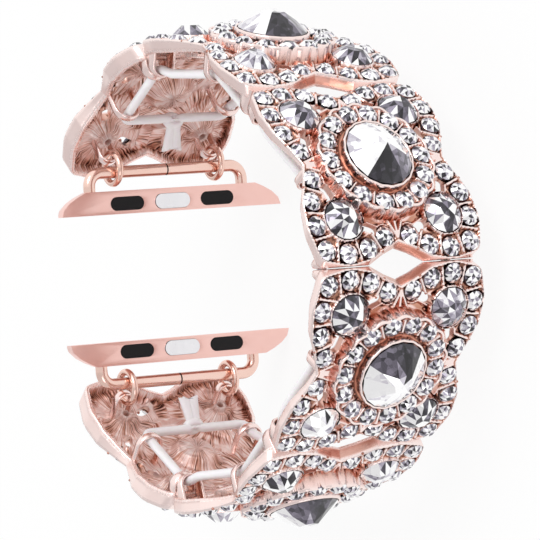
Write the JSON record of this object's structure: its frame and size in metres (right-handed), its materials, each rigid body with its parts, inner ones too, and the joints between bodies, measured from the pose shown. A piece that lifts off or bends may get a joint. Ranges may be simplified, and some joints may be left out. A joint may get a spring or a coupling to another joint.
{
  "type": "rhinestone watch band",
  "caption": "Closed stretch watch band of domed, four-lobed rose-gold links set with clear stones, strung on elastic cord, with a slide-in watch lug on wire loops at each end.",
  "frame": {"origin": "On the floor plane, under the middle of the closed band's bounding box, with the band lying on its side on the ends of its watch lugs.", "axes": "+Z runs across the band, along the ring's axis and the lugs' length. +X points from the watch gap to the middle of the band. +Y runs along the gap, from the lower lug to the upper one; it is up in the picture."},
  "size_m": [0.0523, 0.0538, 0.0282],
  "materials": {
    "rose_gold_cast": "cast zinc alloy with polished rose-gold plating",
    "clear_stone": "clear faceted glass stone with a foiled back",
    "elastic_cord": "translucent white elastic cord",
    "rose_gold_wire": "steel wire with polished rose-gold plating",
    "satin_rose_gold": "satin rose-gold plated steel",
    "black_rubber": "smooth black rubber",
    "bright_metal": "bright nickel-plated steel",
    "spring_steel": "bare spring steel"
  },
  "bodies": {
    "link_1": {"casting_1": "rose_gold_cast", "small_stones_1": "clear_stone", "medium_stones_1": "clear_stone", "large_stone_1": "clear_stone", "elastic_cord_1": "elastic_cord"},
    "link_2": {"casting_2": "rose_gold_cast", "small_stones_2": "clear_stone", "medium_stones_2": "clear_stone", "large_stone_2": "clear_stone", "elastic_cord_2": "elastic_cord"},
    "link_3": {"casting_3": "rose_gold_cast", "small_stones_3": "clear_stone", "medium_stones_3": "clear_stone", "large_stone_3": "clear_stone", "elastic_cord_3": "elastic_cord"},
    "link_4": {"casting_4": "rose_gold_cast", "small_stones_4": "clear_stone", "medium_stones_4": "clear_stone", "large_stone_4": "clear_stone", "elastic_cord_4": "elastic_cord"},
    "link_5": {"casting_5": "rose_gold_cast", "small_stones_5": "clear_stone", "medium_stones_5": "clear_stone", "large_stone_5": "clear_stone", "elastic_cord_5": "elastic_cord"},
    "link_6": {"casting_6": "rose_gold_cast", "small_stones_6": "clear_stone", "medium_stones_6": "clear_stone", "large_stone_6": "clear_stone", "elastic_cord_6": "elastic_cord"},
    "rings_upper": {"jump_rings_upper": "rose_gold_wire"},
    "lug_upper": {"wire_loop_upper": "rose_gold_wire", "watch_lug_upper": "satin_rose_gold", "rubber_pads_upper": "black_rubber", "button_spring_upper": "spring_steel", "spring_cover_upper": "satin_rose_gold"},
    "button_upper": {"lock_button_upper": "bright_metal"},
    "rings_lower": {"jump_rings_lower": "rose_gold_wire"},
    "lug_lower": {"wire_loop_lower": "rose_gold_wire", "watch_lug_lower": "satin_rose_gold", "rubber_pads_lower": "black_rubber", "button_spring_lower": "spring_steel", "spring_cover_lower": "satin_rose_gold"},
    "button_lower": {"lock_button_lower": "bright_metal"}
  },
  "joints": [
    {"name": "open_middle", "type": "hinge", "parent": "link_3", "child": "link_4", "pos_m": [0.02592, 0, 0.0141], "axis": [0, 0, 1], "range_deg": [0, 45], "stiffness_Nm_per_rad": 0.03, "springref_deg": -20.05},
    {"name": "open_upper_inner", "type": "hinge", "parent": "link_3", "child": "link_2", "pos_m": [0.01388, 0.01889, 0.0141], "axis": [0, 0, -1], "range_deg": [0, 40], "stiffness_Nm_per_rad": 0.03, "springref_deg": -20.05},
    {"name": "open_upper_outer", "type": "hinge", "parent": "link_2", "child": "link_1", "pos_m": [-0.00765, 0.02507, 0.0141], "axis": [0, 0, -1], "range_deg": [0, 40], "stiffness_Nm_per_rad": 0.03, "springref_deg": -20.05},
    {"name": "open_lower_inner", "type": "hinge", "parent": "link_4", "child": "link_5", "pos_m": [0.01388, -0.01889, 0.0141], "axis": [0, 0, 1], "range_deg": [0, 40], "stiffness_Nm_per_rad": 0.03, "springref_deg": -20.05},
    {"name": "open_lower_outer", "type": "hinge", "parent": "link_5", "child": "link_6", "pos_m": [-0.00765, -0.02507, 0.0141], "axis": [0, 0, 1], "range_deg": [0, 40], "stiffness_Nm_per_rad": 0.03, "springref_deg": -20.05},
    {"name": "rings_upper_swing", "type": "hinge", "parent": "link_1", "child": "rings_upper", "pos_m": [-0.02129, 0.01345, 0.0141], "axis": [0, 0, -1], "range_deg": [-15, 15]},
    {"name": "rings_lower_swing", "type": "hinge", "parent": "link_6", "child": "rings_lower", "pos_m": [-0.02129, -0.01345, 0.0141], "axis": [0, 0, 1], "range_deg": [-15, 15]},
    {"name": "lug_upper_swing", "type": "hinge", "parent": "rings_upper", "child": "lug_upper", "pos_m": [-0.02002, 0.01158, 0.0141], "axis": [0, 0, -1], "range_deg": [-30, 30]},
    {"name": "lug_lower_swing", "type": "hinge", "parent": "rings_lower", "child": "lug_lower", "pos_m": [-0.02002, -0.01158, 0.0141], "axis": [0, 0, 1], "range_deg": [-30, 30]},
    {"name": "button_upper_press", "type": "slide", "parent": "lug_upper", "child": "button_upper", "axis": [-1, 0, 0], "range_m": [0, 0.0005], "stiffness_N_per_m": 600, "deforming": ["button_spring_upper"]},
    {"name": "button_lower_press", "type": "slide", "parent": "lug_lower", "child": "button_lower", "axis": [-1, 0, 0], "range_m": [0, 0.0005], "stiffness_N_per_m": 600, "deforming": ["button_spring_lower"]}
  ]
}
